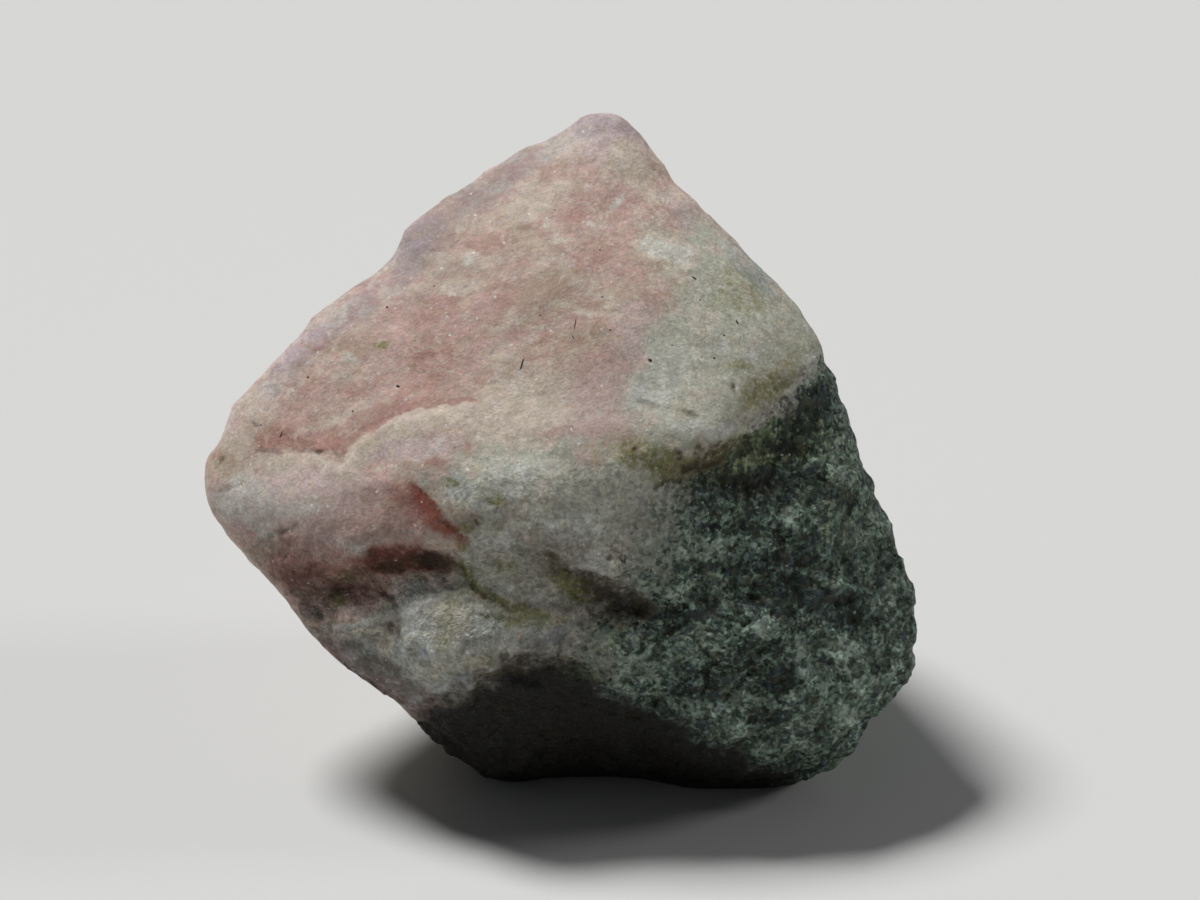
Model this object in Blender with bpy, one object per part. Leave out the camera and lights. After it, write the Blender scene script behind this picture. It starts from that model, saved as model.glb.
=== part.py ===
"""Tugtupite specimen: one broken chunk of rock that leans back and rests on a flat fracture face.

The chunk is laid out on a plane that leans back from upright. Each corner of the rock is a place on that
plane, (across, up, out): across to the right, up the lean, and out of the plane towards the front.
The corners make a closed cage of flat fracture facets, which is refined, roughened and cut flat at the floor.
"""
import math

import bmesh
import bpy
from mathutils import Matrix, Vector, noise
from mathutils.geometry import delaunay_2d_cdt

MM = 0.001

# Driving dimensions, in millimetres and degrees.
LEAN = 30.0            # the layout plane leans back this far from upright
FLOOR_DROP = 10.4      # height of the layout plane's origin above the floor
CELL = 0.64            # size of the cells that the rock's surface is refined to
WEAR_PASSES = 2        # how often the cage's edges are rounded, like worn fracture edges
WEAR_STRENGTH = 0.5    # share of the way to its neighbours that each pass moves a point
WEAR_ALLOWANCE = 0.12  # thickness given back after that rounding
SWELL_SIZE = 3.2       # wavelength and height of the broad unevenness
SWELL_HEIGHT = 0.12
CHIP_SIZE = 1.3        # wavelength and height of the small chips
CHIP_HEIGHT = 0.07
SEW_DISTANCE = 0.01    # rim points of the front and the back closer than this are one point
CUT_TOLERANCE = 0.001  # points this close to the floor count as on it

FLOOR = (0, 0, 0)
UPWARDS = (0, 0, 1)
NODE_NAME = "tugtupite_stone"
STONE_COLOUR = (0.36, 0.29, 0.25, 1.0)
STONE_ROUGHNESS = 0.62

# The rim where the front facets meet the back ones, clockwise from the peak as seen from the front.
PEAK = (
    (-0.4, 11.3, 1.0), (0.5, 11.4, 1.0), (1.0, 11.1, 1.0), (1.4, 10.6, 1.1),
    (1.9, 10.0, 1.2), (2.4, 9.0, 1.5), (2.5, 8.8, 1.7),
)
RIGHT_SHOULDER = (
    (3.2, 8.4, 1.9), (4.3, 7.3, 2.1), (5.3, 6.2, 2.4), (6.0, 5.4, 2.5), (6.8, 4.6, 2.6),
    (7.2, 4.0, 2.6), (7.6, 3.1, 2.6), (8.0, 2.1, 2.5),
)
RIGHT_SIDE = (
    (8.6, 0.5, 2.4), (9.4, -1.6, 2.2), (9.8, -2.8, 2.1), (10.2, -4.1, 1.9), (10.7, -5.0, 1.6),
    (10.8, -5.8, 1.5), (10.6, -6.9, 1.6), (10.2, -7.9, 1.6), (9.6, -8.6, 1.5),
)
RIGHT_FOOT = (
    (8.8, -9.2, 1.3), (8.6, -9.9, 0.9), (8.1, -10.5, 0.4), (7.4, -11.0, -0.3),
    (6.6, -11.3, -1.1), (5.4, -11.5, -1.4), (4.2, -11.4, -1.4), (1.5, -11.1, -1.2),
)
LEFT_FOOT = (
    (-1.0, -11.0, -1.1), (-2.6, -11.2, -1.3), (-3.4, -11.3, -1.3), (-4.1, -11.1, -1.1),
    (-4.4, -10.6, -0.5), (-5.8, -9.7, 0.5), (-6.4, -8.8, 1.6),
)
LEFT_OVERHANG = (
    (-6.9, -8.3, 2.6), (-7.7, -7.9, 3.0), (-8.8, -7.0, 2.9), (-10.1, -5.5, 2.6), (-11.3, -4.2, 2.3),
    (-12.5, -2.8, 1.9), (-13.0, -2.0, 1.7),
)
LEFT_TIP = (
    (-13.4, -1.0, 1.5), (-13.1, -0.1, 1.9), (-12.6, 0.6, 2.2), (-12.5, 1.1, 2.3), (-12.1, 1.9, 2.5),
)
LEFT_SHOULDER = (
    (-11.1, 2.8, 2.7), (-10.1, 3.8, 2.8), (-9.3, 4.8, 2.7), (-8.0, 5.6, 2.5), (-7.1, 6.1, 2.3),
    (-6.9, 6.6, 2.1), (-6.8, 7.1, 2.1), (-6.4, 7.5, 2.1), (-5.8, 8.1, 2.0), (-5.1, 8.6, 1.9),
    (-4.1, 9.1, 1.7), (-3.0, 9.9, 1.5), (-2.0, 10.4, 1.3), (-1.1, 11.0, 1.1),
)

# The brow between the pale upper face and the steeper lower front, from the left tip to the right shoulder.
BROW = (
    (-12.0, -0.3, 3.2), (-10.0, 0.0, 4.2), (-8.2, 0.3, 4.9), (-6.5, 1.2, 5.4), (-4.5, 1.3, 5.8),
    (-1.5, 0.6, 6.3), (1.0, 0.4, 6.4), (3.5, 0.8, 6.0), (5.5, 1.6, 5.0), (7.0, 2.7, 3.8),
)
CREASE_ABOVE_BROW = ((-8.0, 1.2, 4.4), (-6.0, 2.1, 4.8), (-4.2, 2.0, 5.3))
UPPER_FACE = (
    (0.5, 10.0, 2.1), (-1.0, 8.5, 2.9), (1.5, 8.0, 2.9), (-4.0, 7.2, 3.0), (-1.5, 6.0, 4.1),
    (1.5, 6.0, 4.2), (3.8, 6.0, 3.5), (-6.0, 5.2, 3.6), (-3.0, 4.2, 4.8), (0.0, 3.5, 5.4),
    (3.0, 3.5, 5.1), (5.5, 4.0, 4.0), (-9.0, 3.0, 3.7), (-6.0, 3.3, 4.5), (-11.0, 1.2, 3.3),
)
# The lower front: the pink cheek on the left, its undercut recess, and the boulder-shaped bulge below.
PINK_CHEEK = (
    (-12.0, -1.6, 3.0), (-10.0, -2.0, 4.3), (-8.0, -1.8, 5.2), (-6.0, -1.6, 5.8), (-4.0, -1.2, 6.2),
    (-9.0, -3.5, 4.6), (-7.5, -3.1, 5.5), (-5.6, -3.1, 5.9), (-4.3, -3.2, 6.1),
)
RECESS = ((-7.4, -3.9, 4.5), (-6.4, -3.9, 4.3), (-5.4, -4.0, 4.4), (-9.0, -4.6, 3.9), (-10.2, -4.6, 3.2))
BULGE = (
    (-5.8, -4.9, 5.3), (-4.4, -5.2, 5.7), (-6.4, -6.1, 5.2), (-5.0, -6.5, 6.0), (-3.2, -6.2, 5.9),
    (-4.0, -7.5, 5.6), (-2.4, -5.0, 5.3),
)
LOWER_LEFT = (
    (-8.5, -5.8, 4.1), (-7.1, -6.0, 4.2), (-7.6, -7.2, 3.9), (-6.2, -7.6, 4.6), (-5.6, -8.3, 4.3),
)
MIDDLE_BLOCK = ((-1.5, -1.2, 6.5), (1.0, -1.4, 6.3), (-2.4, -2.8, 6.3), (-1.0, -3.4, 6.4), (0.5, -4.2, 6.1))
STEP_UNDER_BLOCK = ((-1.0, -4.7, 5.3), (0.4, -5.3, 5.0), (1.8, -5.7, 5.0), (-1.4, -6.2, 5.6), (0.4, -6.6, 5.6))
# The dark face on the right, from the hollow under the brow down to the front edge of the underside.
HOLLOW = ((1.6, -0.5, 6.0), (3.2, -0.3, 5.6), (5.0, 0.2, 4.9), (6.6, 1.0, 4.0))
DARK_FACE = (
    (3.0, -1.6, 5.9), (5.0, -1.3, 5.1), (7.2, -0.8, 4.2), (2.5, -3.5, 5.9), (5.0, -3.8, 5.1),
    (7.5, -3.5, 4.1), (9.0, -3.0, 2.8), (3.0, -5.6, 5.2), (4.6, -6.2, 5.4), (6.5, -6.2, 4.6),
    (8.4, -5.4, 3.7), (9.7, -6.0, 2.7), (4.2, -8.0, 4.9), (6.2, -8.2, 4.4), (8.0, -8.1, 3.4),
    (9.2, -7.7, 2.9), (7.7, -9.6, 2.8),
)
FRONT_EDGE = (
    (-4.6, -8.4, 4.7), (-3.4, -8.1, 5.0), (-2.0, -7.8, 5.2), (-0.4, -7.4, 5.4), (0.7, -8.2, 5.0),
    (1.8, -8.5, 4.8), (2.8, -9.4, 4.2), (4.7, -10.0, 3.6), (6.5, -10.6, 2.0),
)
UNDERCUT = (
    (-3.6, -9.6, 2.2), (-0.8, -9.2, 2.7), (1.5, -10.0, 1.8), (4.2, -10.9, 0.7), (-1.4, -10.4, 0.2),
)
FOOT_KNOB = ((-3.7, -10.4, 1.2), (-2.6, -10.5, 1.3), (-3.2, -10.9, 0.4))

# The back: steep sides just inside the rim, a roof under the peak, a broad hump, and corners that pass below
# the floor and are cut flat there.
BACK_SIDES = (
    (0.1, 10.4, -1.2), (1.7, 8.7, -1.6), (-2.7, 9.1, -0.8), (-5.0, 7.4, -0.7), (-6.4, 5.6, -0.8),
    (-8.6, 4.2, -0.4), (-10.9, 2.0, -0.4), (-12.3, -0.6, -0.4), (-11.6, -2.9, -0.3), (-9.6, -5.2, -0.2),
    (-7.4, -7.0, -0.4), (3.7, 6.8, -0.9), (5.9, 4.5, -0.9), (7.2, 2.2, -1.0), (8.2, -0.6, -1.2),
    (9.3, -3.6, -1.6), (9.9, -6.0, -2.2),
)
BACK_ROOF = (
    (-3.3, 6.6, -3.0), (0.3, 8.2, -3.0), (2.8, 6.0, -4.2), (-7.0, 2.8, -3.3), (-4.2, 3.4, -5.0),
    (0.4, 5.0, -5.9), (5.2, 3.2, -4.6), (-9.8, -0.2, -2.3),
)
BACK_HUMP = (
    (-7.0, -1.4, -4.6), (-3.2, -0.4, -7.1), (1.6, 1.4, -7.7), (5.6, -0.2, -7.0), (7.4, -2.2, -5.6),
    (-9.0, -3.4, -2.6), (-6.0, -4.8, -4.6), (-1.6, -3.8, -8.5), (2.6, -3.4, -9.3), (6.0, -4.4, -8.2),
    (8.4, -6.0, -5.6),
)
BACK_FOOT = (
    (-4.6, -8.0, -5.6), (1.6, -8.0, -9.1), (5.6, -8.0, -8.4), (8.2, -8.6, -4.6), (-5.5, -8.2, -2.0),
    (-1.4, -9.6, -6.6), (4.0, -10.5, -7.0), (6.8, -10.6, -4.2),
)


def rim_corners():
    """The whole rim, clockwise from the peak."""
    right = PEAK + RIGHT_SHOULDER + RIGHT_SIDE + RIGHT_FOOT
    left = LEFT_FOOT + LEFT_OVERHANG + LEFT_TIP + LEFT_SHOULDER
    return right + left


def front_corners():
    """Every corner of the front facets inside the rim."""
    upper = BROW + CREASE_ABOVE_BROW + UPPER_FACE
    left = PINK_CHEEK + RECESS + BULGE + LOWER_LEFT
    right = MIDDLE_BLOCK + STEP_UNDER_BLOCK + HOLLOW + DARK_FACE
    return upper + left + right + FRONT_EDGE + UNDERCUT + FOOT_KNOB


def back_corners():
    """Every corner of the back facets inside the rim."""
    return BACK_SIDES + BACK_ROOF + BACK_HUMP + BACK_FOOT


def from_layout(corner):
    """A place on the leaning layout plane, in metres, with the floor at height zero."""
    across, up, out = corner
    lean = math.radians(LEAN)
    away = up * math.sin(lean) - out * math.cos(lean)
    height = up * math.cos(lean) + out * math.sin(lean) + FLOOR_DROP
    return Vector((across, away, height)) * MM


def add_facets(cage, rim, corners):
    """Spans the rim and the corners inside it with flat triangles."""
    places = rim + corners
    flat = [Vector(place[:2]) for place in places]
    outline = [list(reversed(range(len(rim))))]
    inside_outline = 1
    spread = delaunay_2d_cdt(flat, [], outline, inside_outline, SEW_DISTANCE)
    triangles, sources = spread[2], spread[3]
    points = [cage.verts.new(from_layout(places[source[0]])) for source in sources]
    for triangle in triangles:
        cage.faces.new([points[index] for index in triangle])


def make_cage():
    """The closed cage of fracture facets, front and back sewn together along the rim."""
    cage = bmesh.new()
    add_facets(cage, rim_corners(), front_corners())
    add_facets(cage, rim_corners(), back_corners())
    bmesh.ops.remove_doubles(cage, verts=cage.verts, dist=SEW_DISTANCE * MM)
    bmesh.ops.recalc_face_normals(cage, faces=cage.faces)
    mesh = bpy.data.meshes.new(NODE_NAME)
    cage.to_mesh(mesh)
    cage.free()
    return mesh


def refine(stone):
    """Replaces the cage by an even skin of small cells, with its edges a little rounded."""
    remesh = stone.modifiers.new("even_cells", "REMESH")
    remesh.mode = "VOXEL"
    remesh.voxel_size = CELL * MM
    smooth = stone.modifiers.new("worn_edges", "SMOOTH")
    smooth.factor = WEAR_STRENGTH
    smooth.iterations = WEAR_PASSES
    evaluated = stone.evaluated_get(bpy.context.evaluated_depsgraph_get())
    fine = bpy.data.meshes.new_from_object(evaluated)
    stone.modifiers.clear()
    cage = stone.data
    stone.data = fine
    bpy.data.meshes.remove(cage)
    fine.name = NODE_NAME


def relief(place):
    """How far the skin stands out from the rounded cage at a place, in metres."""
    swell = SWELL_HEIGHT * noise.noise(place / (SWELL_SIZE * MM))
    chips = CHIP_HEIGHT * noise.noise(place / (CHIP_SIZE * MM))
    return (WEAR_ALLOWANCE + swell + chips) * MM


def finish_surface(mesh):
    """Roughens the skin, cuts the rest face at the floor and triangulates what is left."""
    skin = bmesh.new()
    skin.from_mesh(mesh)
    skin.normal_update()
    for vert in skin.verts:
        vert.co += vert.normal * relief(vert.co)
    everything = skin.verts[:] + skin.edges[:] + skin.faces[:]
    bmesh.ops.bisect_plane(
        skin, geom=everything, dist=CUT_TOLERANCE * MM, plane_co=FLOOR, plane_no=UPWARDS, clear_inner=True
    )
    open_edges = [edge for edge in skin.edges if edge.is_boundary]
    bmesh.ops.holes_fill(skin, edges=open_edges, sides=0)
    bmesh.ops.triangulate(skin, faces=skin.faces)
    bmesh.ops.recalc_face_normals(skin, faces=skin.faces)
    skin.to_mesh(mesh)
    skin.free()


def centre_on_floor(mesh):
    """Moves the stone so that the middle of its bounding box's bottom is the origin."""
    across = [vert.co.x for vert in mesh.vertices]
    away = [vert.co.y for vert in mesh.vertices]
    middle = Vector(((min(across) + max(across)) / 2, (min(away) + max(away)) / 2, 0.0))
    mesh.transform(Matrix.Translation(-middle))


def stone_material():
    """Matt, slightly waxy stone in the specimen's mean colour."""
    material = bpy.data.materials.new("tugtupite_rock")
    material.use_nodes = True
    shader = material.node_tree.nodes["Principled BSDF"]
    shader.inputs["Base Color"].default_value = STONE_COLOUR
    shader.inputs["Roughness"].default_value = STONE_ROUGHNESS
    shader.inputs["Metallic"].default_value = 0.0
    return material


def make_stone():
    """The whole specimen: one natural piece, so one object."""
    stone = bpy.data.objects.new(NODE_NAME, make_cage())
    bpy.context.scene.collection.objects.link(stone)
    refine(stone)
    finish_surface(stone.data)
    centre_on_floor(stone.data)
    stone.data.materials.append(stone_material())
    stone.data.shade_smooth()
    return stone


for leftover in list(bpy.data.objects):
    bpy.data.objects.remove(leftover)

make_stone()
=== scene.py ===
"""Looks of the tugtupite specimen: pink and cream rock with a dark green-grey side, on a pale floor.

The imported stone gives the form. This script gives it its fine relief, its colours and its tiny needles.
Lengths are in millimetres until the meshes are handed over, and then in metres.
Places on the front are in pixels of a 1200 by 900 picture taken by this script's camera.
"""

import random
from math import cos, hypot, radians, sin

import bmesh
import bpy
import numpy as np
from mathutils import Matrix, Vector, noise
from mathutils.bvhtree import BVHTree


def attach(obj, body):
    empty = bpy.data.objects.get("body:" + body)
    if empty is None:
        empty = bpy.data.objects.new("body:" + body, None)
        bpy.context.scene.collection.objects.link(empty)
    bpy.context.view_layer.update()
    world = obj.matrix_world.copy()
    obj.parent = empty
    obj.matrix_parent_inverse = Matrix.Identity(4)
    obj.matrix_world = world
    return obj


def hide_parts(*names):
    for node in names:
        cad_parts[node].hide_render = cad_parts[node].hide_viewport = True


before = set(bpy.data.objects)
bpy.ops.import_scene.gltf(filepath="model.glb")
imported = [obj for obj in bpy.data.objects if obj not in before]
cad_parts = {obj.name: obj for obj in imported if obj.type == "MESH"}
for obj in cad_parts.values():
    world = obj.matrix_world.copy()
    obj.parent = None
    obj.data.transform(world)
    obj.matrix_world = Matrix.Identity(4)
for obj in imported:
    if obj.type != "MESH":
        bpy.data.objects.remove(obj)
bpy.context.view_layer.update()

STONE_NODE = "tugtupite_stone"
BODY = "root"
METRES_PER_MM = 0.001

# Camera: a long lens that looks down on the stone.
CAMERA_AIM = np.array((1.195, -2.112, 11.9))
CAMERA_ELEVATION = radians(30.0)
CAMERA_DISTANCE = 333.3
CAMERA_LENS = 300.0
CAMERA_SENSOR = 36.0
CAMERA_CLIP_METRES = (0.01, 10.0)
PIXELS_PER_MM = 30.0
PICTURE_MIDDLE = (600.0, 450.0)
RIGHT = np.array((1.0, 0.0, 0.0))
UP = np.array((0.0, sin(CAMERA_ELEVATION), cos(CAMERA_ELEVATION)))
TO_CAMERA = np.array((0.0, -cos(CAMERA_ELEVATION), sin(CAMERA_ELEVATION)))
CAMERA_PLACE = CAMERA_AIM + TO_CAMERA * CAMERA_DISTANCE

# Lights: name, azimuth and elevation in degrees, strength and spread in degrees.
SUNS = [("key", -120.0, 62.0, 3.3, 16.0), ("rim", 95.0, 25.0, 0.6, 14.0)]
SKY_COLOUR = (0.95, 0.97, 1.0, 1.0)
SKY_STRENGTH = 0.08
FLOOR_HALF_METRES = 0.6
FLOOR_COLOUR = (0.62, 0.62, 0.61)
FLOOR_ROUGHNESS = 0.9

# The skin's mesh: cell size in mm, smoothing, and how far a face must face the camera to be made finer.
CELL = 0.205
SMOOTH_PASSES = 26
SMOOTH_FACTORS = (0.5, -0.53)
FRONT_MIN_FACING = 0.12

# In mm: how far the skin moves out, what rests on the floor, and where the relief above it fades in.
SWELL = 0.02
REST_HEIGHT = 0.04
FLOOR_FADE = 0.7

# The rock's layering runs up to the right.
LAYER_ANGLE = radians(27.0)
LAYER_ALONG = RIGHT * cos(LAYER_ANGLE) + UP * sin(LAYER_ANGLE)
LAYER_STRETCH = 3.0

# Bends of the picture's zones and lines: reach in pixels, what the hidden sides add to it, size in mm,
# seeds across and down, octaves.
ZONE_BENDS = [(5.0, 55.0, 2.6, (1, 3), 4), (4.0, 0.0, 0.6, (2, 4), 3)]
LINE_BENDS = [(3.0, 0.0, 1.0, (11, 13), 1), (1.5, 0.0, 0.35, (12, 14), 1)]

# How far a face faces the camera where the picture's zones end, and where its relief comes in.
HIDDEN_FACING = (0.25, -0.25)
RELIEF_FACING = (0.05, 0.4)
# Heights on the picture over which the lower front turns grainy and murky, and knobby.
GRAINY_FROM = (440.0, 500.0)
KNOBBY_FROM = (500.0, 580.0)

# Soft edge of the murky rock: pixels outside and inside the outline.
MURK_EDGE = (70.0, 30.0)
# The dark rock's edge is softer on its lower left, where it grades into the pale rock.
DARK_EDGE = 30.0
DARK_EXTRA_EDGE = 80.0
SOFT_LEFT_OF = (760.0, 680.0)
SOFT_BELOW = (470.0, 520.0)

# Zones of the rock, as outlines on the picture.
DARK_ROCK = [
    (822, 348), (817, 364), (803, 386), (787, 404), (770, 412), (753, 426), (740, 439), (724, 458),
    (704, 472), (682, 490), (670, 516), (664, 545), (658, 575), (640, 594), (618, 604), (616, 640),
    (588, 668), (560, 720), (560, 830), (830, 840), (980, 720), (980, 540), (900, 400),
]
# More zones: kind, pixels outside and inside the outline over which its edge fades, outline.
OUTLINES = [
    # The underside: painted shade, near black and darker than its rock.
    ("under", (30.0, 34.0), [
        (340, 700), (400, 708), (436, 702), (460, 692), (486, 678), (508, 664), (532, 658), (562, 660),
        (596, 674), (620, 692), (658, 706), (694, 732), (742, 752), (802, 774), (830, 830), (600, 860),
        (360, 830)]),
    # The white corner on the upper right, the white block and the bulge below it.
    ("albite", (48.0, 40.0), [
        (660, 236), (702, 226), (775, 275), (870, 360), (870, 420), (820, 440), (760, 462), (700, 474),
        (650, 452), (632, 410), (630, 372), (648, 345), (676, 300), (676, 266)]),
    ("albite", (34.0, 34.0), [
        (482, 440), (520, 432), (560, 440), (640, 450), (690, 470), (700, 560), (660, 604), (560, 622),
        (470, 602), (450, 572), (466, 540), (446, 508), (424, 482), (450, 466)]),
    ("albite", (24.0, 24.0), [
        (396, 600), (440, 576), (520, 600), (610, 612), (620, 662), (540, 690), (450, 706), (408, 700),
        (360, 670), (330, 630)]),
]
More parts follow.
